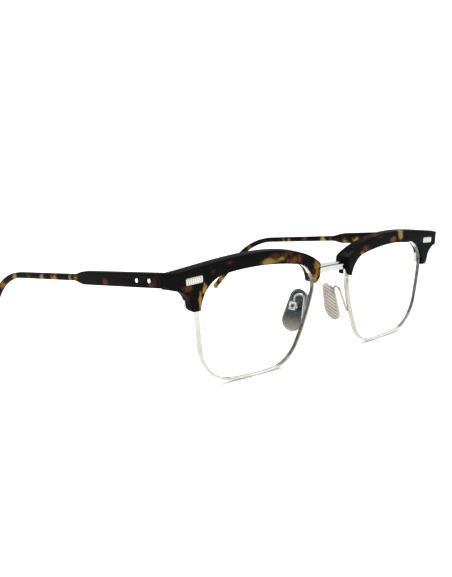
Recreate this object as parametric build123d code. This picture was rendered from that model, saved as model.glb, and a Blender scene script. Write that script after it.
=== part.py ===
from build123d import *
import os
from math import atan2, cos, degrees, radians, sin

# Half rim (browline) eyeglasses, in millimetres and degrees.
#
# Head frame: X to the wearer's left, Y back towards the ears, Z up, with the origin midway between
# the two lens centres on the front plane of the rims. Every side piece is made for the wearer's left
# and mirrored for the right. At the end the whole pair is stood on the plane z = 0.
#
# Lens frame: u across the lens towards the temple, v up the lens. A depth counts backwards from the
# rim's front plane, so a negative depth stands in front of it.

# Front, overall
LENS_WIDTH = 50.0
LENS_HEIGHT = 37.6
LENS_GAP = 20.0
WRAP = 3.4
TILT = 9.2

# Rim
RIM_WALL = 0.7
RIM_DEPTH = 2.0
RIM_GROOVE_WIDTH = 0.8
RIM_GROOVE_DEEP = 0.35
RIM_SLIT = 0.12
RIM_SEAT_GAP = 0.01
# Corners, counter-clockwise from the lower temporal one: inset in u and v from the rim's box, the
# corner's radius, and the bulge of the side that follows it.
RIM_CORNERS = (
    (3.3, 3.4, 14.5, 0.73),
    (-0.6, 2.4, 11.4, 3.34),
    (-1.6, 3.9, 9.7, 2.07),
    (10.8, 1.4, 13.7, 2.02),
)

# Lens
LENS_THICKNESS = 1.8
LENS_CURVE_RADIUS = 280.0
LENS_BEVEL_WIDTH = 0.6
LENS_CLEARANCE = 0.05
LENS_SET_BACK = 0.8

# Brow
BROW_FRONT = -1.0
BROW_BACK = 3.0
BROW_RISE = 4.0
BROW_END_REACH = 11.4
BROW_END_DROP = 3.2
BROW_END_HEIGHT = 4.9
BROW_END_SLANT = 2.3
BROW_NOSE_REACH = 1.8
BROW_NOSE_LOW = 9.0
BROW_NOSE_RADIUS = 1.2
BROW_NOSE_BACK = 4.8
BROW_NOSE_THICKENS = 11.5
BROW_EDGE_RADIUS = 0.35
BROW_FOOT_FRONT = 0.5
LEG_WIDTH = 3.2
LEG_LOW = 7.7
LEG_BACK = 1.9
LEG_TOP = 12.2
LEG_MARGIN = 0.4
LEG_CORNER = (0.9, 1.0)
SEAT_CLEARANCE = 0.04
# The crest: distance from the nose end and height under the top, then one point from the other end
BROW_CREST = ((0.0, 7.0), (5.8, 3.6), (15.2, 1.0), (29.0, 0.0))
BROW_CREST_LAST = (19.2, 1.0)
# Underside of the end: distance outside the leg and height over the given level
BROW_UNDER_END = (3.6, -0.8)
BROW_UNDER_LEG = 0.9
# Nose end's lower corners: distance from the nose end and height over its lowest point
BROW_NOSE_CORNERS = ((3.7, 0.0), (1.4, 1.1), (0.0, 2.8))
# Inside the lens opening, where the blank only has to pass under the rim
BLANK_INSET = (3.0, 8.0)

# Tabs of the rim inside the brow, and the screws through them
TAB_PLACES = (-13.0, 13.0)
TAB_WIDTH = 2.6
TAB_HEIGHT = 2.6
TAB_FRONT = 0.6
TAB_BACK = 1.4
BROW_SCREW_RADIUS = 0.5
BROW_SCREW_HEAD_RADIUS = 0.9
BROW_SCREW_HEAD = 0.5
BROW_SCREW_RISE = 1.4
BROW_SCREW_START = 0.2
SLOT_WIDTH = 0.2
SLOT_DEPTH = 0.25

# Closing blocks and their screw
BLOCK_LOW = 8.3
BLOCK_HEIGHT = 3.7
BLOCK_WIDTH = 2.3
BLOCK_FRONT = 0.3
BLOCK_OVERLAP = 2.5
RIM_SCREW_RADIUS = 0.4
RIM_SCREW_HEAD_RADIUS = 0.65
RIM_SCREW_HEAD = 0.6
RIM_SCREW_INSET = 1.05
RIM_SCREW_SHORT = 0.1

# Plaque
PLAQUE_LENGTH = 6.4
PLAQUE_HEIGHT = 2.3
PLAQUE_FROM_RIM = 2.1
PLAQUE_CORNER = 0.5
PLAQUE_RISE = 17.7
PLAQUE_TURN = -3.5
PLAQUE_PROUD = 0.12
PLAQUE_SUNK = 0.45

# Bridge
BRIDGE_RISE = 13.1
BRIDGE_HEIGHT = 2.0
BRIDGE_DEPTH = 1.5
BRIDGE_ARCH = 0.6
RAIL_DEPTH = 1.3
RAIL_PROUD = 0.7
RAIL_SEAM = 0.4
BRIDGE_SET_BACK = 0.25
BRIDGE_OVERLAP = 3.0
BRIDGE_FOOT = 3.0
BRIDGE_FOOT_OUT = 0.9
BRIDGE_FOOT_SET_BACK = 0.3

# Temple
TEMPLE_LENGTH = 145.0
TEMPLE_RISE = 18.15
TEMPLE_THICK = 3.4
TEMPLE_HEIGHT = 4.6
TEMPLE_EDGE_RADIUS = 0.55
PADDLE_LENGTH = 44.3
TAPER_LENGTH = 8.0
TAPER_STEPS = 4
BAR_THICK = 2.5
BAR_HEIGHT = 2.3
BAR_EDGE_RADIUS = 0.8
EAR_BEND_RADIUS = 40.2
EAR_BEND_ANGLE = 40.6
EAR_TAIL = 24.4
EAR_INWARD = 6.5
TIP_RADIUS = 0.9
CORE_RADIUS = 0.6
CORE_START = 22.0
CORE_TIP_MARGIN = 6.0
CORE_CLEARANCE = 0.03
TEMPLE_GAP = 0.15

# Hinge
PIVOT_INSET = 1.4
PIVOT_BEHIND = 2.3
KNUCKLE_RADIUS = 1.25
FRONT_KNUCKLE = 1.2
MIDDLE_KNUCKLE = 1.5
KNUCKLE_GAP = 0.06
HINGE_SCREW_RADIUS = 0.55
HINGE_BORE_CLEARANCE = 0.05
HINGE_HEAD_RADIUS = 1.0
HINGE_HEAD = 0.45
HINGE_ARM_DEPTH = 3.3
HINGE_ARM_WIDTH = 1.875
HINGE_ARM_INSET = 0.2
HINGE_ARM_OVERLAP = 1.5
PLATE_THICK = 1.6
PLATE_OVERLAP = 2.0
PLATE_LOW = 0.1
PLATE_RISE = 2.2
PLATE_MARGIN = 0.1
# Lower edge of the plate: distance outside the leg and height over the leg's top
PLATE_SHOULDER = ((0.0, 0.0), (2.0, 2.3))
PLATE_STEP = 3.4
# Upper edge back to the leg: distance outside the leg
PLATE_UPPER = (1.5, -1.6)
LEAF_START = 0.45
LEAF_PROUD = 0.5
LEAF_SUNK = 0.5
LEAF_HEIGHT = 3.4
LEAF_END_MARGIN = 1.9

# Rivets, their distance behind the temple's front end
RIVET_PLACES = (6.4, 12.9)
RIVET_RADIUS = 0.5
RIVET_HEAD_RADIUS = 0.72
RIVET_HEAD = 0.35
RIVET_PROUD = 0.12
RIVET_INNER_HEAD = 0.25

# Nose pad
PAD_LENGTH = 15.6
PAD_TOP_RADIUS = 3.4
PAD_LOW_RADIUS = 4.3
PAD_THICK = 0.85
PAD_EDGE_RADIUS = 0.35
PAD_DISH = 0.3
PAD_DISH_MARGIN = 0.5
PAD_CENTRE = (0.4, 6.8, -0.6)
PAD_SPLAY = 14.0
PAD_FLARE = 18.5
PAD_LEAN = 8.0
PAD_PIVOT_RISE = 1.2
PAD_PIVOT_OUT = 1.25
LUG_RADIUS = 0.75
LUG_WIDTH = 1.5
NECK_WIDTH = 1.2
NECK_SUNK = 0.2
PAD_BOX_WALL = 0.55
PAD_BOX_LENGTH = 2.9
PAD_BOX_END_WALL = 0.35
PAD_BOX_CORNER = 0.4
PAD_BOX_WINDOW = 1.2
PAD_BOX_OUT = 1.15
PAD_BOX_IN = 0.45
PAD_SIDE_CLEARANCE = 0.1
PAD_SCREW_RADIUS = 0.35
PAD_SCREW_CLEARANCE = 0.05
PAD_SCREW_HEAD_RADIUS = 0.6
PAD_SCREW_HEAD = 0.3

# Pad arm: from its root on the rim, up, over in a loop, and down to the pad box
ARM_RADIUS = 0.4
ARM_ROOT_RISE = -4.9
ARM_ROOT_OUT = 0.1
ARM_ROOT_BEHIND = 0.2
ARM_LOOP_RISE = 4.6
ARM_LOOP_OUT = 3.2
ARM_LOOP_BEHIND = 2.4
ARM_LOOP_DROP = 0.2
ARM_BOX_OVERLAP = 0.3
ARM_BOX_RISE = (2.6, 0.3)
ARM_BEND_RADIUS = 1.6

# Worked out from the sizes above
HALF_WIDTH = LENS_WIDTH / 2 + RIM_WALL
HALF_HEIGHT = LENS_HEIGHT / 2 + RIM_WALL
LENS_CENTRE = (LENS_WIDTH + LENS_GAP) / 2
THROUGH = 20.0
FAR = 80.0
OVERCUT = 1.0


def lens_frame():
    """The left lens frame: x is u, y is v, z points forwards."""
    across = Vector(cos(radians(WRAP)), sin(radians(WRAP)), 0)
    upright = Vector(0, -sin(radians(TILT)), cos(radians(TILT)))
    return Plane(origin=(LENS_CENTRE, 0, 0), x_dir=across, z_dir=across.cross(upright))


def at_lens(shape):
    """Move a shape from the lens frame into the head frame."""
    return lens_frame().location * shape


def slab(face, front, back):
    """Thicken a face of the lens frame between two depths."""
    return extrude(Pos(0, 0, -back) * face, back - front, dir=(0, 0, 1))


def lens_box(low, high, front, back):
    """A box of the lens frame from its corners in u and v and its two depths."""
    size = (high[0] - low[0], high[1] - low[1])
    middle = ((high[0] + low[0]) / 2, (high[1] + low[1]) / 2)
    return slab(Pos(*middle) * Rectangle(*size), front, back)


def rod(start, end, radius):
    """A round rod between two points."""
    line = Vector(end) - Vector(start)
    base = Plane(origin=start, z_dir=line)
    return extrude(base * Circle(radius), line.length, dir=line.normalized())


# Rim and lens ---------------------------------------------------------------------------------------


def rim_outline(grow=0.0):
    """The outside of the rim in the lens frame, moved outwards by grow."""
    signs = ((1, -1), (1, 1), (-1, 1), (-1, -1))
    corners = []
    for (side, rise), (inset_u, inset_v, _, _) in zip(signs, RIM_CORNERS):
        corners.append(Vector(side * (HALF_WIDTH - inset_u), rise * (HALF_HEIGHT - inset_v)))
    sides = []
    for index, start in enumerate(corners):
        end = corners[(index + 1) % len(corners)]
        chord = end - start
        outwards = Vector(chord.Y, -chord.X).normalized()
        sides.append(ThreePointArc(start, (start + end) / 2 + outwards * RIM_CORNERS[index][3], end))
    outline = make_face(sides)
    for corner, (_, _, radius, _) in zip(corners, RIM_CORNERS):
        nearest = outline.vertices().sort_by_distance(corner)[0]
        outline = fillet(nearest, radius)
    return grown(outline, grow) if grow else outline


def grown(outline, grow):
    """The same run of tangent arcs, each moved outwards by grow about its own centre."""
    arcs = []
    for arc in outline.edges():
        centre = arc.arc_center
        scale = (arc.radius + grow) / arc.radius
        arcs.append(ThreePointArc(*[centre + (arc @ t - centre) * scale for t in (0, 0.5, 1)]))
    return make_face(arcs)


def rim_top_at(u):
    """Height of the rim's outside above the lens centre at u."""
    ray = Line((u, 0), (u, HALF_HEIGHT * 2))
    return (ray & rim_outline()).bounding_box().max.Y


def tab_box(u, grow=0.0):
    """One tab of the rim, or the room it needs in the brow."""
    top = rim_top_at(u)
    low = (u - TAB_WIDTH / 2 - grow, top - RIM_WALL / 2)
    high = (u + TAB_WIDTH / 2 + grow, top + TAB_HEIGHT + grow)
    return lens_box(low, high, TAB_FRONT - grow, TAB_BACK + grow)


def rim():
    """Grooved metal eyewire with two tabs, slit at the closing block."""
    ring = slab(rim_outline(), 0, RIM_DEPTH)
    for u in TAB_PLACES:
        ring += tab_box(u)
    ring -= slab(rim_outline(-RIM_WALL), -THROUGH, THROUGH)
    middle = RIM_DEPTH / 2
    groove = rim_outline(RIM_GROOVE_DEEP - RIM_WALL)
    ring -= slab(groove, middle - RIM_GROOVE_WIDTH / 2, middle + RIM_GROOVE_WIDTH / 2)
    for u in TAB_PLACES:
        ring -= brow_screw_hole(u, BROW_SCREW_RADIUS + SEAT_CLEARANCE)
    slit = BLOCK_LOW + BLOCK_HEIGHT / 2
    low = (HALF_WIDTH - 3 * RIM_WALL, slit - RIM_SLIT / 2)
    high = (HALF_WIDTH + 2 * RIM_WALL, slit + RIM_SLIT / 2)
    return at_lens(ring - lens_box(low, high, -THROUGH, THROUGH))


def lens():
    """Gently curved lens with a flat bevel around its edge that sits in the rim's groove."""
    middle = RIM_DEPTH / 2
    sag = (LENS_WIDTH / 2) ** 2 / (2 * LENS_CURVE_RADIUS)
    crown = middle - sag * LENS_SET_BACK - LENS_THICKNESS / 2
    body = slab(rim_outline(-RIM_WALL - LENS_CLEARANCE), -THROUGH, THROUGH)
    centre = Pos(0, 0, -crown - LENS_CURVE_RADIUS) * Rot(X=90)
    front = centre * Sphere(LENS_CURVE_RADIUS)
    back = centre * Sphere(LENS_CURVE_RADIUS - LENS_THICKNESS)
    body = (body & front) - back
    edge = rim_outline(RIM_GROOVE_DEEP - RIM_WALL - LENS_CLEARANCE)
    core = rim_outline(-2 * RIM_WALL - LENS_CLEARANCE)
    half = LENS_BEVEL_WIDTH / 2
    bevel = slab(edge, middle - half, middle + half) - slab(core, -THROUGH, THROUGH)
    return at_lens(body + bevel)


# Brow -----------------------------------------------------------------------------------------------


def brow_outline():
    """Front view of the brow before the lens opening is cut out of it."""
    top = HALF_HEIGHT + BROW_RISE
    nose = -HALF_WIDTH - BROW_NOSE_REACH
    end = HALF_WIDTH + BROW_END_REACH
    end_top = top - BROW_END_DROP
    end_low = end_top - BROW_END_HEIGHT
    leg = HALF_WIDTH + LEG_WIDTH
    points = [(nose + across, top - down) for across, down in BROW_CREST]
    nose_top = points[0]
    points.append((end - BROW_CREST_LAST[0], top - BROW_CREST_LAST[1]))
    crest = Spline(*points, (end, end_top))
    corner = Line((end, end_top), (end, end_low))
    under = Spline(
        (end, end_low),
        (leg + BROW_UNDER_END[0], end_low + BROW_UNDER_END[1]),
        (leg + BROW_UNDER_LEG, LEG_TOP),
        (leg, LEG_LOW + LEG_CORNER[1]),
        tangents=[(-1.0, -0.02), (-0.15, -1.0)],
    )
    foot = Polyline(
        (leg, LEG_LOW + LEG_CORNER[1]),
        (leg - LEG_CORNER[0], LEG_LOW),
        (HALF_WIDTH - BLANK_INSET[0], LEG_LOW),
        (HALF_WIDTH - BLANK_INSET[1], LEG_TOP),
        (BLANK_INSET[1] - HALF_WIDTH, LEG_TOP),
        *[(nose + across, BROW_NOSE_LOW + up) for across, up in BROW_NOSE_CORNERS],
        nose_top,
    )
    face = make_face([crest, corner, under] + foot.edges())
    return fillet(face.vertices().sort_by_distance(nose_top)[0], BROW_NOSE_RADIUS)


def seen_from_above(points):
    """A face in the lens frame's plan view, from points of u and minus the depth."""
    plan = Plane(origin=(0, 0, 0), x_dir=(1, 0, 0), z_dir=(0, -1, 0))
    return plan * make_face(Polyline(*points, points[0]))


def end_slant():
    """Material outside the slanted temporal end of the brow."""
    end = HALF_WIDTH + BROW_END_REACH
    back = Vector(end, -BROW_BACK)
    front = Vector(end - BROW_END_SLANT, -BROW_FRONT)
    far = front + (front - back)
    points = [back, far, Vector(end + THROUGH, far.Y), Vector(end + THROUGH, back.Y)]
    return extrude(seen_from_above(points), 2 * THROUGH, both=True)


def behind_brow():
    """Material behind the brow's back, which thickens towards the nose."""
    nose = -HALF_WIDTH - BROW_NOSE_REACH
    thick_end = Vector(nose, -BROW_NOSE_BACK)
    thin = Vector(nose + BROW_NOSE_THICKENS, -BROW_BACK)
    end = Vector(FAR, -BROW_BACK)
    points = [thick_end, thin, end, Vector(FAR, -THROUGH), Vector(nose, -THROUGH)]
    return extrude(seen_from_above(points), 2 * THROUGH, both=True)


def brow():
    """Acetate brow with its groove for the rim and its pockets for the metal behind it."""
    body = slab(brow_outline(), BROW_FRONT, BROW_NOSE_BACK) - behind_brow()
    body -= slab(rim_outline(-RIM_WALL), -THROUGH, THROUGH)
    body -= end_slant()
    body = rounded_front(body)
    body -= slab(rim_outline(SEAT_CLEARANCE), -SEAT_CLEARANCE, RIM_DEPTH + SEAT_CLEARANCE)
    for u in TAB_PLACES:
        body -= tab_box(u, SEAT_CLEARANCE)
        body -= brow_screw_hole(u, BROW_SCREW_RADIUS + SEAT_CLEARANCE)
        body -= brow_screw_head(u, SEAT_CLEARANCE)
    body -= block_box(0, BLOCK_HEIGHT, SEAT_CLEARANCE)
    body -= driver_hole()
    body -= slab(plate_outline(SEAT_CLEARANCE), LEG_BACK, BROW_BACK + OVERCUT)
    body -= leg_back_room()
    body -= foot_room()
    body -= plaque_blank(SEAT_CLEARANCE)
    body = at_lens(body)
    return body - bridge_blank(SEAT_CLEARANCE)


def rounded_front(body):
    """Ease the long front edges of the brow's top and of its end."""
    front = [e for e in body.edges() if abs(e.bounding_box().max.Z + BROW_FRONT) < 1e-3]
    flat = [e for e in front if abs(e.bounding_box().min.Z + BROW_FRONT) < 1e-3]
    longest = sorted(flat, key=lambda e: e.length)[-1]
    return fillet([longest], BROW_EDGE_RADIUS)


def leg_back_room():
    """Nothing of the brow stands behind its leg, where the metal end plate lies."""
    high = (HALF_WIDTH + LEG_WIDTH + LEG_MARGIN, LEG_TOP)
    return lens_box((0, 0), high, LEG_BACK, BROW_BACK + OVERCUT)


def foot_room():
    """Nothing of the brow's nose end stands behind the bridge's foot, below the bridge."""
    low = (-HALF_WIDTH - THROUGH, 0)
    high = (-HALF_WIDTH, BRIDGE_RISE - BRIDGE_HEIGHT / 2)
    return lens_box(low, high, BROW_FOOT_FRONT, BROW_NOSE_BACK + OVERCUT)


# Screws that hold the brow on the rim ---------------------------------------------------------------


def brow_screw_hole(u, radius):
    """Shaft of a brow screw, or its hole, along the depth."""
    v = rim_top_at(u) + BROW_SCREW_RISE
    return slab(Pos(u, v) * Circle(radius), BROW_SCREW_START, BROW_BACK)


def brow_screw_head(u, grow=0.0):
    """Sunk head of a brow screw in the back of the brow."""
    v = rim_top_at(u) + BROW_SCREW_RISE
    face = Pos(u, v) * Circle(BROW_SCREW_HEAD_RADIUS + grow)
    return slab(face, BROW_BACK - BROW_SCREW_HEAD - grow, BROW_BACK + (OVERCUT if grow else 0))


def brow_screws():
    """Two small slotted screws in the back of the brow."""
    screws = []
    for u in TAB_PLACES:
        screw = brow_screw_hole(u, BROW_SCREW_RADIUS) + brow_screw_head(u)
        v = rim_top_at(u) + BROW_SCREW_RISE
        low = (u - BROW_SCREW_HEAD_RADIUS, v - SLOT_WIDTH / 2)
        high = (u + BROW_SCREW_HEAD_RADIUS, v + SLOT_WIDTH / 2)
        slot = lens_box(low, high, BROW_BACK - SLOT_DEPTH, BROW_BACK + OVERCUT)
        screws.append(at_lens(screw - slot))
    return Compound(children=screws)


# Closing blocks -------------------------------------------------------------------------------------


def block_box(low, high, grow=0.0):
    """Part of the closing block between two heights above its foot, or its room in the brow."""
    start = (HALF_WIDTH - BLOCK_OVERLAP, BLOCK_LOW + low - grow)
    end = (HALF_WIDTH + BLOCK_WIDTH + grow, BLOCK_LOW + high + grow)
    return lens_box(start, end, BLOCK_FRONT - grow, LEG_BACK)


def rim_screw_place():
    """The closing screw's axis: u and depth."""
    return HALF_WIDTH + BLOCK_WIDTH - RIM_SCREW_INSET, (BLOCK_FRONT + LEG_BACK) / 2


def rim_screw_rod(low, high, radius):
    """Round piece along the closing screw's axis between two heights."""
    u, depth = rim_screw_place()
    return rod((u, low, -depth), (u, high, -depth), radius)


def closing_block():
    """Two metal blocks brazed to the rim each side of its slit."""
    half = BLOCK_HEIGHT / 2
    slit = RIM_SLIT / 2
    blocks = []
    for low, high in ((0, half - slit), (half + slit, BLOCK_HEIGHT)):
        block = block_box(low, high) - slab(rim_outline(SEAT_CLEARANCE / 2), -THROUGH, THROUGH)
        block -= rim_screw_rod(0, THROUGH, RIM_SCREW_RADIUS + SEAT_CLEARANCE)
        block -= rim_screw_rod(0, BLOCK_LOW + RIM_SCREW_HEAD, RIM_SCREW_HEAD_RADIUS + SEAT_CLEARANCE)
        blocks.append(at_lens(block))
    return Compound(children=blocks)


def rim_screw():
    """The screw that pulls the two closing blocks together, entered from below."""
    top = BLOCK_LOW + BLOCK_HEIGHT - RIM_SCREW_SHORT
    shaft = rim_screw_rod(BLOCK_LOW + RIM_SCREW_SHORT, top, RIM_SCREW_RADIUS)
    head = rim_screw_rod(BLOCK_LOW, BLOCK_LOW + RIM_SCREW_HEAD - SEAT_CLEARANCE, RIM_SCREW_HEAD_RADIUS)
    return at_lens(shaft + head)


def driver_hole():
    """Opening under the leg for turning the closing screw."""
    return rim_screw_rod(LEG_LOW - OVERCUT, BLOCK_LOW, RIM_SCREW_HEAD_RADIUS + SEAT_CLEARANCE)


# Plaque ---------------------------------------------------------------------------------------------


def plaque_blank(grow=0.0):
    """The plaque's body, or its recess in the brow."""
    centre = (HALF_WIDTH + PLAQUE_FROM_RIM, PLAQUE_RISE)
    face = RectangleRounded(PLAQUE_LENGTH + 2 * grow, PLAQUE_HEIGHT + 2 * grow, PLAQUE_CORNER)
    front = BROW_FRONT - (OVERCUT if grow else PLAQUE_PROUD)
    return slab(Pos(*centre) * Rot(Z=PLAQUE_TURN) * face, front, BROW_FRONT + PLAQUE_SUNK + grow)


def plaque():
    """Small metal plaque let into the outer corner of the brow."""
    return at_lens(plaque_blank())


# Bridge ---------------------------------------------------------------------------------------------


def bridge_frame():
    """Bridge frame: x to the left, y up the tilted front, z forwards."""
    forwards = Vector(0, -cos(radians(TILT)), -sin(radians(TILT)))
    return Plane(origin=(0, 0, 0), x_dir=(1, 0, 0), z_dir=forwards)


def arched_bar(low, high, front, back, reach):
    """Bar between two heights that rises by the arch at the middle."""
    lower = ThreePointArc((-reach, low), (0, low + BRIDGE_ARCH), (reach, low))
    upper = ThreePointArc((-reach, high), (0, high + BRIDGE_ARCH), (reach, high))
    face = make_face([lower, upper, Line(lower @ 0, upper @ 0), Line(lower @ 1, upper @ 1)])
    return slab(face, front, back)


def bridge_blank(grow=0.0):
    """The bridge before its ends are cut to the rims, or its room in the brows."""
    nose = sin(radians(WRAP)) * HALF_WIDTH
    front = BRIDGE_SET_BACK - nose - grow
    back = front + BRIDGE_DEPTH + 2 * grow
    reach = LENS_CENTRE - HALF_WIDTH + BRIDGE_OVERLAP
    low = BRIDGE_RISE - BRIDGE_HEIGHT / 2 - grow
    high = BRIDGE_RISE + BRIDGE_HEIGHT / 2 + grow
    bar = arched_bar(low, high, front, back, reach)
    rail_front = back - RAIL_SEAM - 2 * grow
    bar += arched_bar(low + RAIL_SEAM, high + RAIL_PROUD, rail_front, back + RAIL_DEPTH, reach)
    for side in (-1, 1):
        inner = side * (LENS_CENTRE - HALF_WIDTH - BRIDGE_FOOT_OUT)
        foot = Pos((inner + side * reach) / 2, high - BRIDGE_HEIGHT / 2 - BRIDGE_FOOT / 2)
        face = foot * Rectangle(abs(side * reach - inner) + 2 * grow, BRIDGE_FOOT + 2 * grow)
        bar += slab(face, front + BRIDGE_FOOT_SET_BACK, back)
    return bridge_frame().location * bar


def bridge():
    """Metal bridge with a raised rail behind it and a foot brazed along each rim."""
    bar = bridge_blank()
    cut = at_lens(slab(rim_outline(SEAT_CLEARANCE / 2), -THROUGH, THROUGH))
    return bar - cut - mirror(cut, about=Plane.YZ)


# End plate and hinge --------------------------------------------------------------------------------


def temple_front():
    """Where the temple's centre line meets the back of the brow, in the head frame."""
    end = HALF_WIDTH + BROW_END_REACH - TEMPLE_THICK / 2
    place = lens_frame().location * Location((end, TEMPLE_RISE, -BROW_BACK))
    return Vector(place.position.X, place.position.Y, TEMPLE_RISE)


def pivot():
    """A point on the hinge screw's upright axis, level with the temple."""
    front = temple_front()
    return Vector(front.X - TEMPLE_THICK / 2 - PIVOT_INSET, front.Y + PIVOT_BEHIND, TEMPLE_RISE)


def plate_outline(grow=0.0):
    """Front view of the end plate: behind the leg, then out to the hinge."""
    leg = HALF_WIDTH + LEG_WIDTH
    inner = HALF_WIDTH - PLATE_OVERLAP
    hinge = pivot().X - LENS_CENTRE + KNUCKLE_RADIUS + PLATE_MARGIN
    low = BLOCK_LOW - PLATE_LOW
    points = (
        (inner, low),
        (leg - LEG_CORNER[0] / 2, low),
        *[(leg + across, LEG_TOP + up) for across, up in PLATE_SHOULDER],
        (hinge, LEG_TOP + PLATE_STEP),
        (hinge, TEMPLE_RISE + PLATE_RISE),
        (leg + PLATE_UPPER[0], TEMPLE_RISE + PLATE_RISE),
        (leg + PLATE_UPPER[1], LEG_TOP + PLATE_RISE),
        (inner, LEG_TOP),
    )
    face = make_face(Polyline(*points, points[0]))
    if grow:
        face = offset(face, amount=grow)
    return face - rim_outline(-RIM_WALL)


def knuckle(low, high, radius):
    """Round piece on the hinge axis between two heights from its middle."""
    centre = pivot()
    return rod(centre + Vector(0, 0, low), centre + Vector(0, 0, high), radius)


def end_piece():
    """Metal end plate with the two outer knuckles of the hinge."""
    front_side = RIM_DEPTH + RIM_SEAT_GAP
    plate = at_lens(slab(plate_outline(), front_side, LEG_BACK + PLATE_THICK))
    centre = pivot()
    inner = MIDDLE_KNUCKLE / 2 + KNUCKLE_GAP
    for low, high in ((inner, inner + FRONT_KNUCKLE), (-inner - FRONT_KNUCKLE, -inner)):
        x = centre.X - KNUCKLE_RADIUS + HINGE_ARM_WIDTH / 2
        arm = Pos(x, centre.Y - HINGE_ARM_DEPTH / 2, centre.Z + (low + high) / 2)
        plate += knuckle(low, high, KNUCKLE_RADIUS)
        plate += arm * Box(HINGE_ARM_WIDTH, HINGE_ARM_DEPTH, high - low)
    plate -= knuckle(-THROUGH / 4, THROUGH / 4, HINGE_SCREW_RADIUS + SEAT_CLEARANCE / 2)
    return plate - at_lens(lens_box((0, 0), (FAR, FAR), -THROUGH, front_side))


def hinge_screw():
    """Hinge screw with a slotted head on top."""
    half = MIDDLE_KNUCKLE / 2 + KNUCKLE_GAP + FRONT_KNUCKLE
    screw = knuckle(-half, half, HINGE_SCREW_RADIUS)
    screw += knuckle(half, half + HINGE_HEAD, HINGE_HEAD_RADIUS)
    top = pivot() + Vector(0, 0, half + HINGE_HEAD)
    return screw - Pos(*top) * Box(SLOT_WIDTH, 3 * HINGE_HEAD_RADIUS, 2 * SLOT_DEPTH)


def leaf_box(grow=0.0):
    """The hinge leaf let into the temple's inner face, or its pocket."""
    front = temple_front()
    inner_face = front.X - TEMPLE_THICK / 2
    start = pivot().Y + KNUCKLE_RADIUS + LEAF_START
    end = front.Y + RIVET_PLACES[-1] + LEAF_END_MARGIN
    size = (LEAF_PROUD + LEAF_SUNK + grow, end - start + 2 * grow, LEAF_HEIGHT + 2 * grow)
    middle = (inner_face + (LEAF_SUNK - LEAF_PROUD + grow) / 2, (start + end) / 2, TEMPLE_RISE)
    return Pos(*middle) * Box(*size)


def temple_hinge():
    """Hinge leaf riveted to the temple, with the middle knuckle."""
    centre = pivot()
    leaf = leaf_box()
    box = leaf.bounding_box()
    knuckle_part = knuckle(-MIDDLE_KNUCKLE / 2, MIDDLE_KNUCKLE / 2, KNUCKLE_RADIUS)
    start = centre.X - HINGE_ARM_INSET
    width = box.max.X - LEAF_SUNK - start
    length = box.min.Y + HINGE_ARM_OVERLAP - centre.Y
    arm = Pos(start + width / 2, centre.Y + length / 2, centre.Z)
    leaf += knuckle_part + arm * Box(width, length, MIDDLE_KNUCKLE)
    bore = HINGE_SCREW_RADIUS + HINGE_BORE_CLEARANCE
    leaf -= knuckle(-MIDDLE_KNUCKLE, MIDDLE_KNUCKLE, bore)
    return leaf - rivet_shafts(SEAT_CLEARANCE / 2)


def rivet_rod(place, inner, outer, radius):
    """Round piece across the temple, between two distances from its middle plane."""
    front = temple_front()
    y = front.Y + place
    return rod((front.X + inner, y, TEMPLE_RISE), (front.X + outer, y, TEMPLE_RISE), radius)


def rivet_shafts(grow=0.0):
    """Both rivet shafts right through the temple and the leaf."""
    shafts = [rivet_rod(p, -THROUGH / 4, THROUGH / 4, RIVET_RADIUS + grow) for p in RIVET_PLACES]
    return Compound(children=shafts)


def temple_rivets():
    """Two rivets, with a low domed head outside and a flat one on the hinge leaf."""
    half = TEMPLE_THICK / 2
    leaf_face = half + LEAF_PROUD
    rivets = []
    for place in RIVET_PLACES:
        rivet = rivet_rod(place, -leaf_face, half, RIVET_RADIUS)
        outer = rivet_rod(place, half - RIVET_HEAD, half + RIVET_PROUD, RIVET_HEAD_RADIUS)
        rim_edge = outer.edges().sort_by(Axis.X)[-1]
        rivet += fillet([rim_edge], 0.9 * RIVET_PROUD)
        rivet += rivet_rod(place, -leaf_face - RIVET_INNER_HEAD, -leaf_face, RIVET_HEAD_RADIUS)
        rivets.append(rivet)
    return Compound(children=rivets)


# Temple ---------------------------------------------------------------------------------------------


def section(y, thick, height, radius):
    """Rounded cross-section of the temple, y behind its front end."""
    front = temple_front()
    plane = Plane(origin=(front.X, front.Y + y, TEMPLE_RISE), x_dir=(1, 0, 0), z_dir=(0, 1, 0))
    return plane * RectangleRounded(thick, height, radius)


def ear_path(start, tail):
    """The temple's centre line from start, through the bend over the ear, to the end of its tail."""
    front = temple_front()
    bend_length = radians(EAR_BEND_ANGLE) * EAR_BEND_RADIUS
    straight = TEMPLE_LENGTH - bend_length - EAR_TAIL
    lean = radians(EAR_INWARD)
    plane = Plane(
        origin=(front.X, front.Y, TEMPLE_RISE),
        x_dir=(0, 1, 0),
        z_dir=(-cos(lean), 0, sin(lean)),
    )
    bar = Line((start, 0), (straight, 0))
    bend = JernArc(start=bar @ 1, tangent=(1, 0), radius=EAR_BEND_RADIUS, arc_size=EAR_BEND_ANGLE)
    end = Line(bend @ 1, (bend @ 1) + (bend % 1) * tail)
    return plane * (bar + bend + end)


def paddle():
    """Deep front stretch of the temple, cut parallel to the brow's back."""
    start = section(-TEMPLE_THICK, TEMPLE_THICK, TEMPLE_HEIGHT, TEMPLE_EDGE_RADIUS)
    blank = extrude(start, PADDLE_LENGTH + TEMPLE_THICK, dir=(0, 1, 0))
    return blank - at_lens(lens_box((-FAR, -FAR), (FAR, FAR), -THROUGH, BROW_BACK + TEMPLE_GAP))


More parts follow.
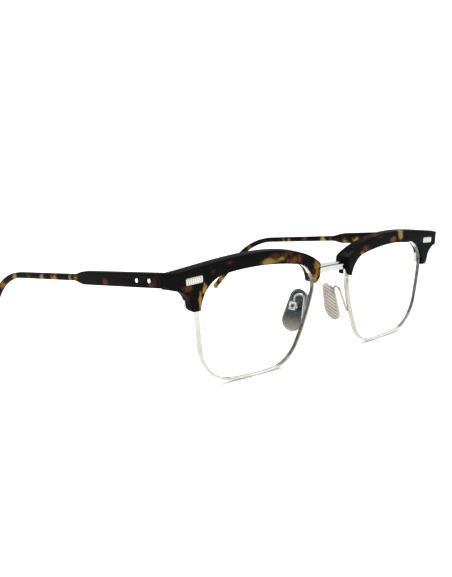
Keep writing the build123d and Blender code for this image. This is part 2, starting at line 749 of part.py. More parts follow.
def taper():
    """Stretch where the paddle narrows to the bar."""
    sections = []
    for index in range(TAPER_STEPS + 1):
        part = index / TAPER_STEPS
        blend = part * part * (3 - 2 * part)
        thick = TEMPLE_THICK + (BAR_THICK - TEMPLE_THICK) * blend
        height = TEMPLE_HEIGHT + (BAR_HEIGHT - TEMPLE_HEIGHT) * blend
        radius = TEMPLE_EDGE_RADIUS + (BAR_EDGE_RADIUS - TEMPLE_EDGE_RADIUS) * part
        sections.append(section(PADDLE_LENGTH + TAPER_LENGTH * part, thick, height, radius))
    return loft(sections)


def ear_bar():
    """Thin bar bent over the ear, with a rounded tip."""
    start = PADDLE_LENGTH + TAPER_LENGTH
    bar = sweep(section(start, BAR_THICK, BAR_HEIGHT, BAR_EDGE_RADIUS), ear_path(start, EAR_TAIL))
    tip = bar.faces().sort_by(Axis.Y)[-1]
    return fillet(tip.edges(), TIP_RADIUS)


def temple():
    """Acetate temple, with its pocket for the leaf, its rivet holes and the wire's bore."""
    body = paddle() + taper() + ear_bar()
    body -= leaf_box(SEAT_CLEARANCE)
    body -= rivet_shafts(SEAT_CLEARANCE / 2)
    outer = TEMPLE_THICK / 2
    floor = outer - RIVET_HEAD - RIM_SEAT_GAP
    for place in RIVET_PLACES:
        body -= rivet_rod(place, floor, outer + OVERCUT, RIVET_HEAD_RADIUS + SEAT_CLEARANCE)
    return body - core_wire(CORE_CLEARANCE)


def core_wire(grow=0.0):
    """Metal wire inside the temple, or its bore."""
    path = ear_path(CORE_START - grow, EAR_TAIL - CORE_TIP_MARGIN + grow)
    front = temple_front()
    start = Plane(origin=(front.X, front.Y + CORE_START - grow, TEMPLE_RISE), z_dir=(0, 1, 0))
    return sweep(start * Circle(CORE_RADIUS + grow), path)


# Nose rest ------------------------------------------------------------------------------------------


def pad_frame():
    """Nose pad frame: x back, y up the pad, z out towards the rim; origin on the pad's outer face."""
    nose_side = LENS_GAP / 2
    centre = Vector(nose_side + PAD_CENTRE[0], PAD_CENTRE[1], PAD_CENTRE[2])
    up = Vector(-sin(radians(PAD_FLARE)), -sin(radians(PAD_LEAN)), cos(radians(PAD_FLARE)))
    back = Vector(sin(radians(PAD_SPLAY)), cos(radians(PAD_SPLAY)), 0)
    out = back.cross(up).normalized()
    return Plane(origin=centre, x_dir=up.cross(out), z_dir=out)


def pad_outline(shrink=0.0):
    """Oblong pad, rounder and wider at its lower end."""
    top = Vector(0, PAD_LENGTH / 2 - PAD_TOP_RADIUS)
    low = Vector(0, PAD_LOW_RADIUS - PAD_LENGTH / 2)
    top_circle = Pos(top.X, top.Y) * Circle(PAD_TOP_RADIUS - shrink)
    low_circle = Pos(low.X, low.Y) * Circle(PAD_LOW_RADIUS - shrink)
    return make_hull((top_circle + low_circle).edges())


def pad_pivot():
    """Middle of the pad screw in the pad frame."""
    return Vector(0, PAD_PIVOT_RISE, PAD_PIVOT_OUT)


def pad_rod(start, end, radius):
    """Round piece along the pad screw's axis."""
    middle = pad_pivot()
    return rod(middle + Vector(start, 0, 0), middle + Vector(end, 0, 0), radius)


def nose_pad():
    """Metal nose pad with a dished outer face and a lug for its screw."""
    body = extrude(Pos(0, 0, -PAD_THICK) * pad_outline(), PAD_THICK, dir=(0, 0, 1))
    nose_edges = body.faces().sort_by(Axis.Z)[0].edges()
    body = fillet(nose_edges, PAD_EDGE_RADIUS)
    body -= extrude(Pos(0, 0, -PAD_DISH) * pad_outline(PAD_DISH_MARGIN), PAD_DISH, dir=(0, 0, 1))
    half = LUG_WIDTH / 2
    lug = pad_rod(-half, half, LUG_RADIUS)
    neck_height = PAD_PIVOT_OUT + PAD_DISH + NECK_SUNK
    neck = Pos(0, PAD_PIVOT_RISE, PAD_PIVOT_OUT - neck_height / 2)
    lug += neck * Box(LUG_WIDTH, NECK_WIDTH, neck_height)
    body += lug
    body -= pad_rod(-LUG_WIDTH, LUG_WIDTH, PAD_SCREW_RADIUS + PAD_SCREW_CLEARANCE)
    return pad_frame().location * body


def pad_box_half():
    """Half the pad box's width along the screw."""
    return LUG_WIDTH / 2 + PAD_SIDE_CLEARANCE + PAD_BOX_WALL


def pad_box():
    """Metal cup that holds the pad's lug, open towards the pad and with a square window behind it."""
    middle = pad_pivot() + Vector(0, 0, (PAD_BOX_OUT - PAD_BOX_IN) / 2)
    cup = Pos(*middle) * Box(2 * pad_box_half(), PAD_BOX_LENGTH, PAD_BOX_OUT + PAD_BOX_IN)
    cup = fillet(cup.edges().filter_by(Axis.Z), PAD_BOX_CORNER)
    room = LUG_WIDTH + 2 * PAD_SIDE_CLEARANCE
    length = PAD_BOX_LENGTH - 2 * PAD_BOX_END_WALL
    inner_wall = LUG_RADIUS + PAD_SIDE_CLEARANCE
    middle = pad_pivot() + Vector(0, 0, (inner_wall - THROUGH) / 2)
    cup -= Pos(*middle) * Box(room, length, inner_wall + THROUGH)
    window = pad_pivot() + Vector(0, 0, THROUGH / 2)
    cup -= Pos(*window) * Box(PAD_BOX_WINDOW, PAD_BOX_WINDOW, THROUGH)
    cup -= pad_rod(-THROUGH / 4, THROUGH / 4, PAD_SCREW_RADIUS + SEAT_CLEARANCE / 2)
    return pad_frame().location * cup


def pad_screw():
    """Screw through the pad box and the pad's lug, with its head on the front side."""
    half = pad_box_half()
    screw = pad_rod(-half, half, PAD_SCREW_RADIUS)
    screw += pad_rod(-half - PAD_SCREW_HEAD, -half, PAD_SCREW_HEAD_RADIUS)
    return pad_frame().location * screw


def pad_arm():
    """Bent wire from the back of the rim, up, over in a loop, and into the pad box."""
    frame = lens_frame()
    up_box = PAD_BOX_LENGTH / 2 - ARM_BOX_OVERLAP
    box_back = pad_pivot() + Vector(0, up_box, PAD_BOX_OUT - ARM_RADIUS)
    box_end = pad_frame().from_local_coords(box_back)
    box_rise = pad_frame().from_local_coords(box_back + Vector(0, *ARM_BOX_RISE))
    side = rim_side_at(ARM_ROOT_RISE)
    root = Vector(side - ARM_ROOT_OUT, ARM_ROOT_RISE, -RIM_DEPTH - ARM_ROOT_BEHIND)
    root = frame.from_local_coords(root)
    loop_start = Vector(side - ARM_LOOP_OUT, ARM_LOOP_RISE, -RIM_DEPTH - ARM_LOOP_BEHIND)
    loop_start = frame.from_local_coords(loop_start)
    loop_end = Vector(box_rise.X, box_rise.Y, loop_start.Z - ARM_LOOP_DROP)
    path = FilletPolyline(root, loop_start, loop_end, box_end, radius=ARM_BEND_RADIUS)
    wire = sweep(Plane(origin=path @ 0, z_dir=path % 0) * Circle(ARM_RADIUS), path)
    wire += Pos(*root) * Sphere(ARM_RADIUS)
    rim_solid = at_lens(slab(rim_outline(SEAT_CLEARANCE / 2), 0, RIM_DEPTH + RIM_SEAT_GAP))
    return wire - rim_solid - pad_box()


def rim_side_at(v):
    """Distance of the rim's outside from the lens centre on the nose side, at height v."""
    ray = Line((0, v), (-2 * HALF_WIDTH, v))
    return (ray & rim_outline()).bounding_box().min.X


# Assembly -------------------------------------------------------------------------------------------

SIDE_PARTS = {
    "rim": rim,
    "lens": lens,
    "brow": brow,
    "brow_screws": brow_screws,
    "closing_block": closing_block,
    "rim_screw": rim_screw,
    "plaque": plaque,
    "end_piece": end_piece,
    "hinge_screw": hinge_screw,
    "temple_hinge": temple_hinge,
    "temple_rivets": temple_rivets,
    "temple": temple,
    "core_wire": core_wire,
    "nose_pad": nose_pad,
    "pad_box": pad_box,
    "pad_screw": pad_screw,
    "pad_arm": pad_arm,
}


def build_parts():
    """Every named piece in the head frame."""
    parts = {"bridge": bridge()}
    for name, make in SIDE_PARTS.items():
        left = make()
        parts[name + "_left"] = left
        parts[name + "_right"] = mirror(left, about=Plane.YZ)
    return parts


def standing_place(parts):
    """Where the pair stands: rims and temple tips level on z = 0, centred in X and Y."""
    angle = 0.0
    for _ in range(5):
        rim_box = (Rot(X=angle) * parts["rim_left"]).bounding_box()
        temple_box = (Rot(X=angle) * parts["temple_left"]).bounding_box()
        rise = temple_box.min.Z - rim_box.min.Z
        angle -= degrees(atan2(rise, temple_box.max.Y - rim_box.max.Y))
    turned = [Rot(X=angle) * part for part in parts.values()]
    boxes = [part.bounding_box() for part in turned]
    low = min(box.min.Z for box in boxes)
    front = min(box.min.Y for box in boxes)
    back = max(box.max.Y for box in boxes)
    return Pos(0, -(front + back) / 2, -low) * Rot(X=angle)


def main():
    os.makedirs("parts", exist_ok=True)
    parts = build_parts()
    place = standing_place(parts)
    for name, part in parts.items():
        export_step(place * part, f"parts/{name}.step")
    print("placed at", place)
    hinge = place * Location(tuple(pivot()))
    print("left hinge axis through", hinge.position)
    pad = place * pad_frame().location * Location(tuple(pad_pivot()))
    axis = (place * pad_frame().location * Location((1, 0, 0))).position
    origin = (place * pad_frame().location).position
    print("left pad axis through", pad.position, "along", axis - origin)


if __name__ == "__main__":
    main()
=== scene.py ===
"""Half rim eyeglasses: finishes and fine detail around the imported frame.

Run as a script it makes every piece in turn. Its sizes are in metres, and its places come from the
frame.
"""

from math import cos, pi, radians, sin, tau

import bmesh
import bpy
from bpy.props import FloatProperty, FloatVectorProperty, IntProperty, PointerProperty
from mathutils import Matrix, Vector


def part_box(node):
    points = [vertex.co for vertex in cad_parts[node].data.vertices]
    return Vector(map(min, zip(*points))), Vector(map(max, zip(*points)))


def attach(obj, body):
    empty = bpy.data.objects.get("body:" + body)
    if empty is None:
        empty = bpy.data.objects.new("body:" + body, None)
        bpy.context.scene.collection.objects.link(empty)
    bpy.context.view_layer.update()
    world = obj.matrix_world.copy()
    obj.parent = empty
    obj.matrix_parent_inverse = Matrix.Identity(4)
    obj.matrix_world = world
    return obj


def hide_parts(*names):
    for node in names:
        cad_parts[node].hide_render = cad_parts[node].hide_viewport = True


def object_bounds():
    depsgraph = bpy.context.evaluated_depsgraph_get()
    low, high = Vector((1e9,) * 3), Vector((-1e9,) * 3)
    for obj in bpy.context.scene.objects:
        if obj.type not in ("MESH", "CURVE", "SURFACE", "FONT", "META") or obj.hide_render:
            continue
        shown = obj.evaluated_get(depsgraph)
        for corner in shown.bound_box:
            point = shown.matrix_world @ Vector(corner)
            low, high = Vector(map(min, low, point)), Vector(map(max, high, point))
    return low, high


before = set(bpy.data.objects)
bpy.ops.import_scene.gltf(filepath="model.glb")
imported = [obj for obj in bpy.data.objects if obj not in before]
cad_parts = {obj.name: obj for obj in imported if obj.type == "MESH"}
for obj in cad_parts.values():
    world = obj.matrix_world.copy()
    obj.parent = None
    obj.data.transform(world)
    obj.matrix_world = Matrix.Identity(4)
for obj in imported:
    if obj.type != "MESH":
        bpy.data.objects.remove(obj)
CAD_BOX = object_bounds()

bl_info = {
    "name": "Half Rim Eyeglasses",
    "version": (1, 0, 0),
    "blender": (4, 5, 0),
    "location": "3D View > Sidebar > Eyeglasses",
    "description": "Finishes a pair of half rim eyeglasses: acetate, metal, lenses and nose pads",
    "category": "Add Mesh",
}

MM = 0.001
SIDES = ("left", "right")


# Sizes and colours --------------------------------------------------------------------------------


def length(name, description, default, high=0.1):
    """A size in metres."""
    return FloatProperty(
        name=name,
        description=description,
        default=default,
        min=0.0,
        max=high,
        unit="LENGTH",
        precision=5,
    )


def share(name, description, default):
    """A number from 0 to 1."""
    return FloatProperty(
        name=name, description=description, default=default, min=0.0, max=1.0, subtype="FACTOR"
    )


def angle(name, description, degrees):
    """A turn, given in degrees."""
    return FloatProperty(
        name=name, description=description, default=radians(degrees), unit="ROTATION"
    )


def colour(name, description, default):
    """A linear colour."""
    return FloatVectorProperty(
        name=name,
        description=description,
        default=default,
        size=3,
        min=0.0,
        max=1.0,
        subtype="COLOR",
    )


class AcetateSettings(bpy.types.PropertyGroup):
    """Tortoise acetate of the brows and the temples."""

    dark: colour("Dark", "Body colour of the sheet", (0.0012, 0.0015, 0.0013))
    brown: colour("Brown", "Edge of a light patch", (0.05, 0.014, 0.004))
    amber: colour("Amber", "Warm heart of a light patch", (0.25, 0.125, 0.015))
    olive: colour("Olive", "Cool heart of a light patch", (0.21, 0.17, 0.04))
    grain: length("Grain", "Usual distance between small patches", 7.5 * MM)
    polish: share("Polish", "Roughness of the acetate under its polish", 0.3)
    coat: share("Coat", "Strength of the polished top layer", 0.09)
    coat_rough: share("Coat Roughness", "Roughness of the polished top layer", 0.05)
    ease: length("Eased Edge", "Width of the tumbled edges", 0.22 * MM)


class MetalSettings(bpy.types.PropertyGroup):
    """Metal of the rims, the bridge, the hinges and the nose rests."""

    rim: colour("Rim", "Satin metal of the rims", (0.50, 0.49, 0.43))
    # Painted shade: the darker colour on the rims' faces towards the lenses and on the bridge's
    # ledge.
    inside: colour("Inside", "Rim faces towards the lenses, bridge's ledge", (0.14, 0.15, 0.15))
    bridge: colour("Bridge", "Polished metal of the bridge", (0.52, 0.52, 0.49))
    bright: colour("Bright", "Rivets, screws and pad boxes", (0.80, 0.79, 0.76))
    plaque: colour("Plaque", "Plaques", (0.38, 0.37, 0.33))
    line: colour("Plaque Lines", "Fine lines across the plaques", (0.66, 0.65, 0.60))
    arm: colour("Arm", "Wire arms of the nose rests", (0.42, 0.42, 0.40))
    # Painted reflection on the pads' outer faces: dark above, fading to a pale warm one at the
    # lower end.
    painted_dish_reflection: colour("Dish", "Polished outer face of a nose pad", (0.05, 0.068, 0.068))
    painted_dish_reflection_low: colour("Dish Low", "Lower end of the same face", (0.30, 0.28, 0.23))
    satin: share("Satin", "Roughness of the satin pieces", 0.24)
    shine: share("Shine", "Roughness of the polished pieces", 0.1)
    ease: length("Eased Edge", "Width of the eased edges", 0.1 * MM)
    wire_ease: length("Rim Ease", "Width of the rims' eased edges", 0.16 * MM)


class LensSettings(bpy.types.PropertyGroup):
    """Clear coated lenses."""

    tint: colour("Tint", "Colour seen through one face", (0.985, 0.995, 0.99))
    index: FloatProperty(
        name="Index", description="How much the coated face bends light", default=1.1
    )


class PlaqueSettings(bpy.types.PropertyGroup):
    """Fine lines across the plaques."""

    pitch: length("Pitch", "Distance between lines", 0.8 * MM)
    line: length("Line", "Width of a line", 0.42 * MM)
    rise: length("Rise", "How far a line stands proud", 0.05 * MM)
    margin: length("Margin", "Plain edge around the lines", 0.35 * MM)
    lean: angle("Lean", "Turn of the lines from square", 8)


class PadSettings(bpy.types.PropertyGroup):
    """Ribbed nose side of the pads."""

    skin: colour("Skin", "Matt metal of the ribbed side and the edge", (0.44, 0.41, 0.345))
    matt: share("Matt", "Roughness of the ribbed side and the edge", 0.42)
    pitch: length("Pitch", "Distance between ribs", 1.5 * MM)
    depth: length("Depth", "Height of a rib", 0.2 * MM)
    lift: length("Lift", "How far the ribbed skin stands off the pad", 0.03 * MM)
    # Painted shade in the grooves between the ribs.
    painted_groove_shade: colour("Groove", "Metal between two ribs", (0.2, 0.185, 0.155))
    lean: angle("Lean", "Turn of the ribs from square", 8)
    rings: IntProperty(
        name="Rings", description="Rings of faces from edge to middle", default=64, min=4
    )
    spokes: IntProperty(
        name="Spokes", description="Faces around the edge", default=160, min=12
    )


class StageSettings(bpy.types.PropertyGroup):
    """Floor, light and camera."""

    azimuth: angle("Azimuth", "Camera's turn from the front, towards the wearer's left", -42.32)
    elevation: angle("Elevation", "Camera's angle above level", 10.33)
    roll: angle("Roll", "Camera's roll", -1.57)
    distance: length("Distance", "From the camera to the point it looks at", 0.27537, 5.0)
    aim: FloatVectorProperty(
        name="Aim",
        description="Point that the camera looks at, from the bridge's middle",
        default=(-0.02623, 0.02646, -0.00605),
        size=3,
        unit="LENGTH",
    )
    lens: FloatProperty(name="Lens", description="Focal length in millimetres", default=47.3)
    floor: length("Floor", "Radius of the floor", 6.0, 20.0)
    sky: FloatProperty(name="Sky", description="Strength of the light from all round", default=1.16)
    shade: share("Shade", "Light that reflections see on the camera's side", 0.5)
    sun: FloatProperty(
        name="Sun", description="Strength of the very soft light from above", default=1.0
    )
    sun_spread: angle("Sun Spread", "Width of the very soft light", 60)


class EyeglassesSettings(bpy.types.PropertyGroup):
    """Everything that can be set."""

    acetate: PointerProperty(
        type=AcetateSettings, name="Acetate", description="Brows and temples"
    )
    metal: PointerProperty(
        type=MetalSettings, name="Metal", description="Rims, bridge, hinges and nose rests"
    )
    lens: PointerProperty(type=LensSettings, name="Lens", description="Lenses")
    plaque: PointerProperty(type=PlaqueSettings, name="Plaque", description="Plaques")
    pad: PointerProperty(type=PadSettings, name="Pad", description="Nose pads")
    stage: PointerProperty(
        type=StageSettings, name="Stage", description="Floor, light and camera"
    )


def settings():
    """The scene's own sizes and colours."""
    return bpy.context.scene.eyeglasses


# Node trees ---------------------------------------------------------------------------------------


def add_node(tree, kind, inputs=None, **choices):
    """Add a node. An input is a value, or another node's socket to link."""
    node = tree.nodes.new(kind)
    for name, value in choices.items():
        setattr(node, name, value)
    for key, value in (inputs or {}).items():
        if isinstance(value, bpy.types.NodeSocket):
            tree.links.new(value, node.inputs[key])
        else:
            node.inputs[key].default_value = value
    return node


def maths(tree, operation, *values):
    """One sum of shader numbers."""
    return add_node(tree, "ShaderNodeMath", dict(enumerate(values)), operation=operation).outputs[0]


def stretch(tree, value, low, high, to_low=0.0, to_high=1.0):
    """Ease a number from one range into another."""
    inputs = {
        "Value": value,
        "From Min": low,
        "From Max": high,
        "To Min": to_low,
        "To Max": to_high,
    }
    node = add_node(tree, "ShaderNodeMapRange", inputs, interpolation_type="SMOOTHSTEP")
    return node.outputs[0]


def blend_colours(tree, factor, first, second):
    """Mix two colours."""
    node = add_node(tree, "ShaderNodeMix", {"Factor": factor}, data_type="RGBA")
    for socket, value in zip((node.inputs[6], node.inputs[7]), (first, second)):
        if isinstance(value, bpy.types.NodeSocket):
            tree.links.new(value, socket)
        else:
            socket.default_value = (*value, 1.0)
    return node.outputs[2]


def noise(tree, place, size, detail=2.0, distortion=0.0):
    """Cloudy noise whose features are about that size in metres."""
    inputs = {"Vector": place, "Scale": 1 / size, "Detail": detail, "Distortion": distortion}
    return add_node(tree, "ShaderNodeTexNoise", inputs).outputs[0]


def new_material(name):
    """A material with an empty shader, and the place of a point on its piece."""
    material = bpy.data.materials.new(name)
    material.use_nodes = True
    tree = material.node_tree
    tree.nodes.clear()
    shader = add_node(tree, "ShaderNodeBsdfPrincipled")
    add_node(tree, "ShaderNodeOutputMaterial", {"Surface": shader.outputs[0]})
    place = add_node(tree, "ShaderNodeTexCoord").outputs["Object"]
    return material, tree, shader, place


def vector_maths(tree, operation, *values):
    """One sum of vectors. Returns the node's outputs, of which a length or product is "Value"."""
    return add_node(
        tree, "ShaderNodeVectorMath", dict(enumerate(values)), operation=operation
    ).outputs


def bump(tree, shader, height, depth):
    """Raise a surface by height, which goes from 0 to 1, times depth."""
    node = add_node(tree, "ShaderNodeBump", {"Height": height, "Distance": depth, "Strength": 1.0})
    tree.links.new(node.outputs[0], shader.inputs["Normal"])


# Finishes -----------------------------------------------------------------------------------------


# Acetate: the sizes of the clouds, specks and waves in it, in metres.
DRIFT_SIZE = 3.4 * MM
SPECK_SIZE = 0.9 * MM
HUE_SIZE = 5.0 * MM
SMEAR_SIZE = 1.8 * MM
WAVE_SIZE = 3.0 * MM
WAVE_HEIGHT = 0.012 * MM
# How much the specks break up a chosen patch's edge and a small patch's, and how ragged it gets.
SPECKS_AT_EDGE = 0.8
SPECKS_IN_CLOUD = 0.3
RAGGED = 1.3
# Where each effect starts and is full.
PATCH_RANGE = (1.35, 0.25)
SMALL_PATCH_RANGE = (0.54, 0.86)
SMALL_PATCH_STRENGTH = 0.55
OLIVE_RANGE = (0.3, 0.7)
BROWN_RANGE = (0.1, 0.55)
HEART_RANGE = (0.4, 1.0)
SMEAR_RANGE = (0.3, 0.75)
# The least and most roughness, as shares of the polish.
SMEAR_ROUGHNESS = (0.8, 1.3)
ACETATE_IOR = 1.49
COAT_IOR = 1.5

# Metal: the sizes of its rubbing marks and dull clouds, in metres.
SCRATCH_SIZE = 0.35 * MM
SCRATCH_DEPTH = 0.0015 * MM
DULL_SIZE = 4.0 * MM
RUB_SHARE = 0.6
DULL_RANGE = (0.5, 1.1)
# The least and most roughness, as shares of the metal's own.
DULL_ROUGHNESS = (0.75, 1.4)
WORN_RANGE = (0.35, 0.7)
WORN_SHADE = 0.88


def acetate(name, patches):
    """Tortoise acetate with light patches at chosen places and small ones all over."""
    values = settings().acetate
    material, tree, shader, place = new_material(name)
    cloud = noise(tree, place, values.grain, detail=3.0, distortion=0.8)
    drift = noise(tree, place, DRIFT_SIZE, detail=3.0, distortion=0.6)
    drift = maths(tree, "SUBTRACT", drift, 0.5)
    fine = noise(tree, place, SPECK_SIZE, detail=4.0, distortion=0.3)
    fine = maths(tree, "SUBTRACT", fine, 0.5)
    edge = maths(tree, "MULTIPLY_ADD", fine, SPECKS_AT_EDGE, drift)
    small = maths(tree, "MULTIPLY_ADD", fine, SPECKS_IN_CLOUD, cloud)
    light = stretch(tree, small, *SMALL_PATCH_RANGE, 0.0, SMALL_PATCH_STRENGTH)
    hue = noise(tree, place, HUE_SIZE, detail=1.0)
    for centre, size, strength, tone in patches:
        offset = vector_maths(tree, "SUBTRACT", place, centre)
        scaled = vector_maths(tree, "DIVIDE", offset[0], size)
        reach = vector_maths(tree, "LENGTH", scaled[0])
        ragged = maths(tree, "MULTIPLY_ADD", edge, RAGGED, reach["Value"])
        patch = stretch(tree, ragged, *PATCH_RANGE, 0.0, strength)
        light = maths(tree, "MAXIMUM", light, patch)
        hue_move = maths(tree, "SUBTRACT", tone, hue)
        hue = maths(tree, "MULTIPLY_ADD", hue_move, patch, hue)
    heart = blend_colours(tree, stretch(tree, hue, *OLIVE_RANGE), values.amber, values.olive)
    body = blend_colours(tree, stretch(tree, light, *BROWN_RANGE), values.dark, values.brown)
    body = blend_colours(tree, stretch(tree, light, *HEART_RANGE), body, heart)
    tree.links.new(body, shader.inputs["Base Color"])
    smear = noise(tree, place, SMEAR_SIZE, detail=3.0)
    least, most = (values.polish * part for part in SMEAR_ROUGHNESS)
    rough = stretch(tree, smear, *SMEAR_RANGE, least, most)
    tree.links.new(rough, shader.inputs["Roughness"])
    shader.inputs["IOR"].default_value = ACETATE_IOR
    shader.inputs["Specular IOR Level"].default_value = 0.0
    shader.inputs["Coat Weight"].default_value = values.coat
    shader.inputs["Coat Roughness"].default_value = values.coat_rough
    shader.inputs["Coat IOR"].default_value = COAT_IOR
    bump(tree, shader, noise(tree, place, WAVE_SIZE, detail=1.0), WAVE_HEIGHT)
    return material


def metal(
    name, tint, rough, scratch=SCRATCH_SIZE, depth=SCRATCH_DEPTH, reflection_fade=None, attribute=None
):
    """Metal with fine rubbing marks and slightly duller clouds.

    A reflection fade is a colour and two heights, and paints a reflection: the metal has that
    colour at the first and its own at the second. An attribute is a name and a colour, and paints
    shade in the
    grooves between ribs: the metal has that colour where the attribute is 0.
    """
    material, tree, shader, place = new_material(name)
    rub = noise(tree, place, scratch, detail=4.0, distortion=0.3)
    cloud = noise(tree, place, DULL_SIZE)
    marks = maths(tree, "MULTIPLY_ADD", rub, RUB_SHARE, cloud)
    least, most = (rough * part for part in DULL_ROUGHNESS)
    dull = stretch(tree, marks, *DULL_RANGE, least, most)
    tree.links.new(dull, shader.inputs["Roughness"])
    worn = [channel * WORN_SHADE for channel in tint]
    tinted = blend_colours(tree, stretch(tree, cloud, *WORN_RANGE), tint, worn)
    # Painted reflection: another colour low down that fades into the metal's own higher up.
    if reflection_fade:
        other, low, high = reflection_fade
        height = add_node(tree, "ShaderNodeSeparateXYZ", {0: place}).outputs[2]
        tinted = blend_colours(tree, stretch(tree, height, low, high), other, tinted)
    # Painted shade: the other colour in the grooves, where the attribute is 0.
    if attribute:
        key, other = attribute
        level = add_node(tree, "ShaderNodeAttribute", attribute_name=key).outputs["Fac"]
        tinted = blend_colours(tree, level, other, tinted)
    tree.links.new(tinted, shader.inputs["Base Color"])
    shader.inputs["Metallic"].default_value = 1.0
    bump(tree, shader, rub, depth)
    return material


def clear_lens():
    """Coated lens that lets the lamps' light through."""
    values = settings().lens
    material, tree, shader, _ = new_material("clear_lens_coated")
    shader.inputs["Base Color"].default_value = (*values.tint, 1.0)
    shader.inputs["Transmission Weight"].default_value = 1.0
    shader.inputs["Roughness"].default_value = 0.0
    shader.inputs["IOR"].default_value = values.index
    through = add_node(tree, "ShaderNodeBsdfTransparent", {"Color": (*values.tint, 1.0)})
    ray = add_node(tree, "ShaderNodeLightPath").outputs["Is Shadow Ray"]
    inputs = {0: ray, 1: shader.outputs[0], 2: through.outputs[0]}
    mixed = add_node(tree, "ShaderNodeMixShader", inputs)
    output = next(node for node in tree.nodes if node.type == "OUTPUT_MATERIAL")
    tree.links.new(mixed.outputs[0], output.inputs["Surface"])
    return material


# Meshes -------------------------------------------------------------------------------------------


# Points of a CAD mesh nearer than this are one, and faces that turn by less than this are flat.
MERGE_WITHIN = 0.0005 * MM
FLAT_WITHIN = radians(0.5)
# Eased edges: the corner in degrees that is hard enough to ease, a rounder piece's, the steps
# across an edge, the turn past which shading stays sharp, and the share of a width that suits
# small pieces and temples.
EASED_CORNER = 32.0
ROUND_CORNER = 40.0
EASE_STEPS = 3
SHARP_TURN = radians(40)
SMALL_EASE = 0.5
TEMPLE_EASE = 0.6
# How squarely a face looks along a direction to count, and how many turns are tried on it.
FACING = 0.8
TRIAL_TURNS = 360


def link(data, name):
    """Put a mesh, lamp or camera in the scene as an object at the origin."""
    piece = bpy.data.objects.new(name, data)
    bpy.context.scene.collection.objects.link(piece)
    return piece


def as_mesh(shape, name):
    """Turn a bmesh into a mesh, and let go of it."""
    mesh = bpy.data.meshes.new(name)
    shape.to_mesh(mesh)
    shape.free()
    return mesh


def smooth(piece):
    """Shade every face of a piece smooth."""
    for face in piece.data.polygons:
        face.use_smooth = True


def middle_of(box):
    """The middle of a box that is given by its lowest and highest corners."""
    low, high = box
    return (Vector(low) + Vector(high)) / 2


def bake_modifiers(piece):
    """Turn a piece and its modifiers into one plain mesh."""
    graph = bpy.context.evaluated_depsgraph_get()
    mesh = bpy.data.meshes.new_from_object(piece.evaluated_get(graph), depsgraph=graph)
    piece.modifiers.clear()
    piece.data = mesh
    return piece


def merged_copy(node):
    """A copy of a CAD node's mesh with its loose triangles joined and its flat faces whole."""
    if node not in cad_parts:
        raise RuntimeError("the frame has no node named " + node)
    shape = bmesh.new()
    shape.from_mesh(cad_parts[node].data)
    bmesh.ops.remove_doubles(shape, verts=shape.verts, dist=MERGE_WITHIN)
    bmesh.ops.dissolve_limit(
        shape,
        angle_limit=FLAT_WITHIN,
        verts=shape.verts,
        edges=shape.edges,
        use_dissolve_boundaries=False,
    )
    return as_mesh(shape, node + "_eased")


def eased(node, body, material, width, corner=EASED_CORNER):
    """A detailed piece for a CAD node, with its hard edges eased."""
    mesh = merged_copy(node)
    mesh.materials.clear()
    mesh.materials.append(material)
    piece = link(mesh, node + "_eased")
    bevel = piece.modifiers.new("Ease", "BEVEL")
    bevel.width = width
    bevel.segments = EASE_STEPS
    bevel.limit_method = "ANGLE"
    bevel.angle_limit = radians(corner)
    bake_modifiers(piece)
    smooth(piece)
    piece.data.set_sharp_from_angle(angle=SHARP_TURN)
    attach(piece, body)
    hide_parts(node)
    return piece


def finish_node(node, material):
    """Give a CAD node a better material."""
    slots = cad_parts[node].material_slots
    if not slots:
        raise RuntimeError("node " + node + " has no material slot")
    for slot in slots:
        slot.material = material


def paint_faces(piece, material, wanted):
    """Give a second metal to the faces that wanted says yes to: painted shade on the rims and the
    bridge, a painted reflection on the pads.
    """
    piece.data.materials.append(material)
    painted = 0
    for face in piece.data.polygons:
        if wanted(face):
            face.material_index = 1
            painted += 1
    if not painted:
        raise RuntimeError("no face of " + piece.name + " takes " + material.name)


def face_frame(node, facing):
    """The place and size of a node's largest flat face that looks along facing.

    Its x is the face's long way, found as the turn that fits the smallest box round it.
    """
    mesh = merged_copy(node)
    facing = Vector(facing)
    seen = [face for face in mesh.polygons if face.normal.dot(facing) > FACING]
    face = max(seen, key=lambda item: item.area)
    points = [mesh.vertices[index].co.copy() for index in face.vertices]
    normal = face.normal.copy()
    middle = sum(points, Vector()) / len(points)
    best = None
    side = normal.orthogonal().normalized()
    for step in range(TRIAL_TURNS):
        along = Matrix.Rotation(pi * step / TRIAL_TURNS, 3, normal) @ side
        across = normal.cross(along)
        spread = []
        for axis in (along, across):
            places = [point.dot(axis) for point in points]
            spread.append(max(places) - min(places))
        if best is None or spread[0] * spread[1] < best[0]:
            best = (spread[0] * spread[1], along if spread[0] > spread[1] else across)
    x_axis = best[1] if best[1].dot(Vector((1, 0, 1))) > 0 else -best[1]
    y_axis = normal.cross(x_axis).normalized()
    ends = [[point.dot(axis) for point in points] for axis in (x_axis, y_axis)]
    middle += x_axis * ((max(ends[0]) + min(ends[0])) / 2 - middle.dot(x_axis))
    middle += y_axis * ((max(ends[1]) + min(ends[1])) / 2 - middle.dot(y_axis))
    turn = Matrix((x_axis, y_axis, normal)).transposed().to_4x4()
    size = [max(row) - min(row) for row in ends]
    bpy.data.meshes.remove(mesh)
    return Matrix.Translation(middle) @ turn, size


# Pieces that follow a rule ------------------------------------------------------------------------


LINE_SIDES = 12


